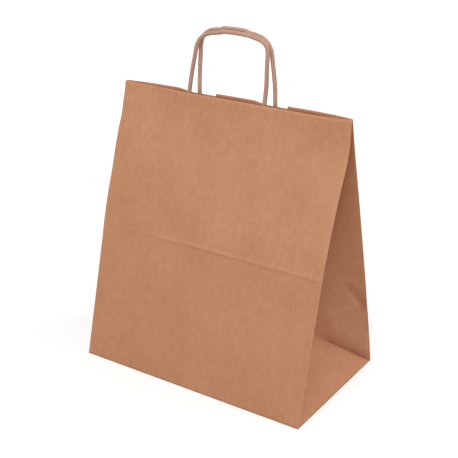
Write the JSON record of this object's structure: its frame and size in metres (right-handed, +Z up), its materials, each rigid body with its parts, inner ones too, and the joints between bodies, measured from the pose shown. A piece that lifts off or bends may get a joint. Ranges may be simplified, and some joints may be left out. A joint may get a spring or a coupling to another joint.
{
  "type": "brown paper carrier bag",
  "caption": "Open brown paper carrier bag with a flat block bottom, side gussets that fold inward, and twisted paper cord handles glued inside the rim.",
  "frame": {"origin": "on the ground, under the middle of the base and of the whole bag's bounding box", "axes": "+Z up from the base to the handles, +Y from the front panel to the back panel, +X across the panels"},
  "size_m": [0.3052, 0.1803, 0.4121],
  "materials": {
    "bag_paper": "unprinted brown wrapping paper, matt, with faint upright ribs and fibres",
    "cord_paper": "brown paper twisted into a cord, matt and slightly greyer than the bag",
    "strip_paper": "unprinted brown paper strip, matt"
  },
  "bodies": {
    "root": {"bag_body": "bag_paper", "front_handle_cord": "cord_paper", "front_handle_backing_strip": "strip_paper", "front_handle_cover_strip": "strip_paper", "back_handle_cord": "cord_paper", "back_handle_backing_strip": "strip_paper", "back_handle_cover_strip": "strip_paper"}
  },
  "joints": []
}
